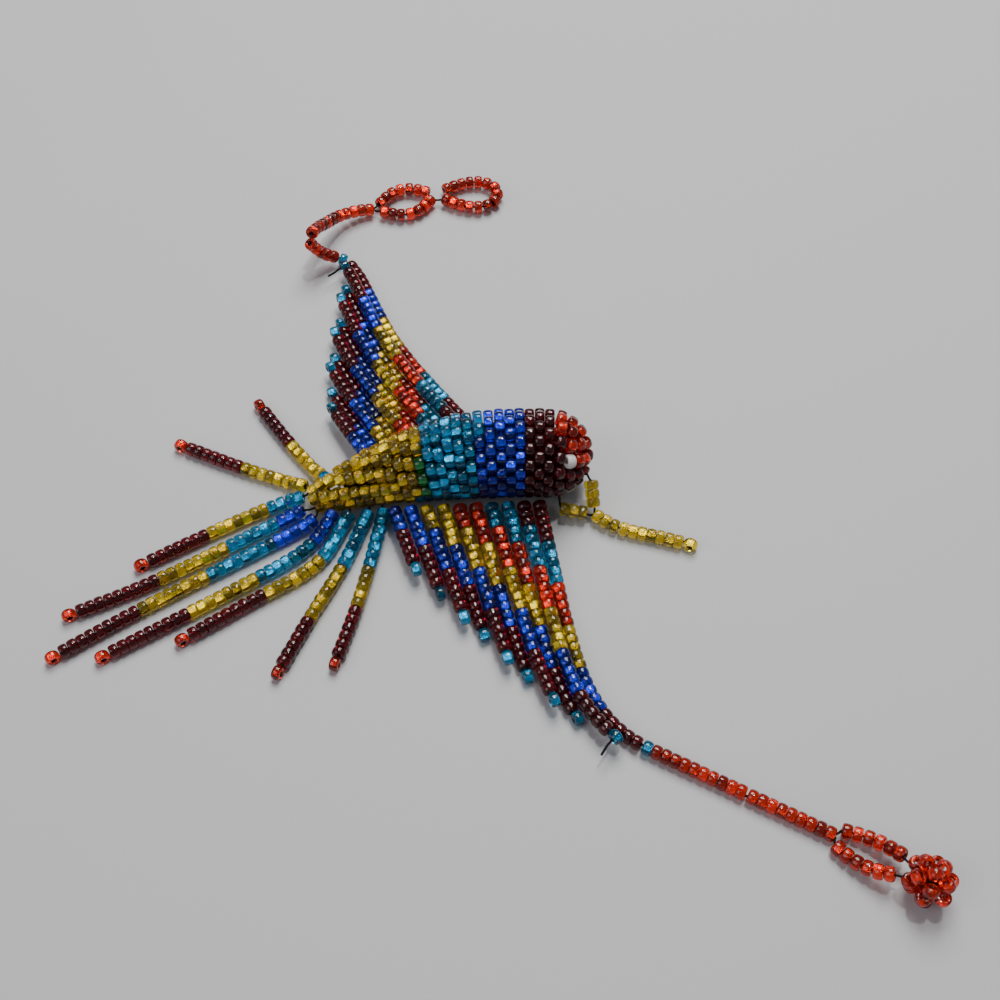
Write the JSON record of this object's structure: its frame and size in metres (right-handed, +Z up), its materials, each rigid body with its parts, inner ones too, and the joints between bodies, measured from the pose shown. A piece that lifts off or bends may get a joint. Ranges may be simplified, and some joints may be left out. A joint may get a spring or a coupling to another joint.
{
  "type": "huichol beaded figure",
  "caption": "Beaded hummingbird bracelet of glass seed beads, with fringed wings and tail, a beak, and a button and loop clasp.",
  "frame": {"origin": "on the surface the piece lies on, under the middle of its outline", "axes": "+X towards the bird's head, +Y towards the left wing and the double loop, +Z up"},
  "size_m": [0.1175, 0.1256, 0.013],
  "materials": {
    "black_thread": "matte",
    "cotton_stuffing": "matte",
    "glass_aqua": "glossy",
    "glass_cobalt": "glossy",
    "glass_garnet": "glossy",
    "glass_gold": "glossy",
    "glass_green": "glossy",
    "glass_orange": "glossy",
    "glass_pearl": "glossy",
    "glass_tail_mixed": "glossy"
  },
  "bodies": {
    "bird": {"body_stuffing": "cotton_stuffing", "body_threads": "black_thread", "body_gold_beads": "glass_gold", "body_green_beads": "glass_green", "body_aqua_beads": "glass_aqua", "body_cobalt_beads": "glass_cobalt", "body_garnet_beads": "glass_garnet", "crown_orange_beads": "glass_orange", "eye_beads": "glass_pearl", "right_wing_garnet_beads": "glass_garnet", "right_wing_aqua_beads": "glass_aqua", "right_wing_orange_beads": "glass_orange", "right_wing_gold_beads": "glass_gold", "right_wing_cobalt_beads": "glass_cobalt", "right_wing_threads": "black_thread", "left_wing_garnet_beads": "glass_garnet", "left_wing_aqua_beads": "glass_aqua", "left_wing_orange_beads": "glass_orange", "left_wing_gold_beads": "glass_gold", "left_wing_cobalt_beads": "glass_cobalt", "left_wing_threads": "black_thread"},
    "right_strap_inner": {"right_strap_inner_beads": "glass_orange", "right_strap_inner_thread": "black_thread"},
    "right_strap_outer": {"right_strap_outer_beads": "glass_orange", "right_strap_outer_thread": "black_thread"},
    "button_loop": {"button_loop_beads": "glass_orange", "button_loop_thread": "black_thread"},
    "button": {"button_beads": "glass_orange", "button_thread_ball": "black_thread"},
    "left_strap_inner": {"left_strap_inner_beads": "glass_orange", "left_strap_inner_thread": "black_thread"},
    "left_strap_outer": {"left_strap_outer_beads": "glass_orange", "left_strap_outer_thread": "black_thread"},
    "near_loop": {"near_loop_beads": "glass_orange", "near_loop_thread": "black_thread"},
    "far_loop": {"far_loop_beads": "glass_orange", "far_loop_thread": "black_thread"},
    "beak": {"beak_beads": "glass_gold", "beak_threads": "black_thread"},
    "tail_strand_1": {"tail_strand_1_beads": "glass_tail_mixed", "tail_strand_1_thread": "black_thread"},
    "tail_strand_2": {"tail_strand_2_beads": "glass_tail_mixed", "tail_strand_2_thread": "black_thread"},
    "tail_strand_3": {"tail_strand_3_beads": "glass_tail_mixed", "tail_strand_3_thread": "black_thread"},
    "tail_strand_4": {"tail_strand_4_beads": "glass_tail_mixed", "tail_strand_4_thread": "black_thread"},
    "tail_strand_5": {"tail_strand_5_beads": "glass_tail_mixed", "tail_strand_5_thread": "black_thread"},
    "tail_strand_6": {"tail_strand_6_beads": "glass_tail_mixed", "tail_strand_6_thread": "black_thread"},
    "tail_strand_7": {"tail_strand_7_beads": "glass_tail_mixed", "tail_strand_7_thread": "black_thread"},
    "tail_strand_8": {"tail_strand_8_beads": "glass_tail_mixed", "tail_strand_8_thread": "black_thread"},
    "tail_strand_9": {"tail_strand_9_beads": "glass_tail_mixed", "tail_strand_9_thread": "black_thread"}
  },
  "joints": [
    {"name": "right_strap_lift", "type": "hinge", "parent": "bird", "child": "right_strap_inner", "pos_m": [0.02156, -0.04098, 0.0021], "axis": [-0.456, -0.89, 0], "range_deg": [0, 45]},
    {"name": "right_strap_fold", "type": "hinge", "parent": "right_strap_inner", "child": "right_strap_outer", "pos_m": [0.03438, -0.04755, 0.0021], "axis": [-0.456, -0.89, 0], "range_deg": [0, 75]},
    {"name": "button_loop_fold", "type": "hinge", "parent": "right_strap_outer", "child": "button_loop", "pos_m": [0.0451, -0.05304, 0.00105], "axis": [-0.5408, -0.8412, 0], "range_deg": [0, 50]},
    {"name": "button_roll", "type": "hinge", "parent": "button_loop", "child": "button", "pos_m": [0.05523, -0.05955, 0.0035], "axis": [0.8412, -0.5408, 0], "range_deg": [-40, 40]},
    {"name": "left_strap_lift", "type": "hinge", "parent": "bird", "child": "left_strap_inner", "pos_m": [-0.02173, 0.04331, 0.00105], "axis": [0.7888, 0.6146, 0], "range_deg": [0, 30]},
    {"name": "left_strap_fold", "type": "hinge", "parent": "left_strap_inner", "child": "left_strap_outer", "pos_m": [-0.02756, 0.04241, 0.00711], "axis": [0.8103, -0.586, 0], "range_deg": [0, 30]},
    {"name": "near_loop_fold", "type": "hinge", "parent": "left_strap_outer", "child": "near_loop", "pos_m": [-0.01811, 0.05547, 0.00136], "axis": [0.3256, -0.9455, 0], "range_deg": [0, 45]},
    {"name": "far_loop_fold", "type": "hinge", "parent": "near_loop", "child": "far_loop", "pos_m": [-0.00808, 0.05892, 0.00136], "axis": [0, -1, 0], "range_deg": [0, 60]},
    {"name": "beak_lift", "type": "hinge", "parent": "bird", "child": "beak", "pos_m": [0.01378, -0.00325, 0.00348], "axis": [-0.7338, -0.5394, -0.413], "range_deg": [0, 20]},
    {"name": "tail_strand_1_lift", "type": "hinge", "parent": "bird", "child": "tail_strand_1", "pos_m": [-0.0223, 0.0002, 0.00305], "axis": [0.7775, 0.6289, 0], "range_deg": [0, 40]},
    {"name": "tail_strand_2_lift", "type": "hinge", "parent": "bird", "child": "tail_strand_2", "pos_m": [-0.0254, -0.0009, 0.00305], "axis": [0.377, 0.9262, 0], "range_deg": [0, 40]},
    {"name": "tail_strand_3_lift", "type": "hinge", "parent": "bird", "child": "tail_strand_3", "pos_m": [-0.0256, -0.0027, 0.00305], "axis": [-0.4384, 0.8988, 0], "range_deg": [0, 40]},
    {"name": "tail_strand_4_lift", "type": "hinge", "parent": "bird", "child": "tail_strand_4", "pos_m": [-0.0255, -0.0049, 0.00305], "axis": [-0.4825, 0.8759, 0], "range_deg": [0, 40]},
    {"name": "tail_strand_5_lift", "type": "hinge", "parent": "bird", "child": "tail_strand_5", "pos_m": [-0.0236, -0.0064, 0.00305], "axis": [-0.5322, 0.8466, 0], "range_deg": [0, 40]},
    {"name": "tail_strand_6_lift", "type": "hinge", "parent": "bird", "child": "tail_strand_6", "pos_m": [-0.021, -0.0054, 0.00305], "axis": [-0.6067, 0.795, 0], "range_deg": [0, 40]},
    {"name": "tail_strand_7_lift", "type": "hinge", "parent": "bird", "child": "tail_strand_7", "pos_m": [-0.0187, -0.0055, 0.00305], "axis": [-0.6777, 0.7354, 0], "range_deg": [0, 40]},
    {"name": "tail_strand_8_lift", "type": "hinge", "parent": "bird", "child": "tail_strand_8", "pos_m": [-0.01605, -0.0053, 0.00305], "axis": [-0.9157, 0.4018, 0], "range_deg": [0, 40]},
    {"name": "tail_strand_9_lift", "type": "hinge", "parent": "bird", "child": "tail_strand_9", "pos_m": [-0.0138, -0.005, 0.00305], "axis": [-0.9303, 0.2109, -0.3], "range_deg": [0, 20]}
  ]
}
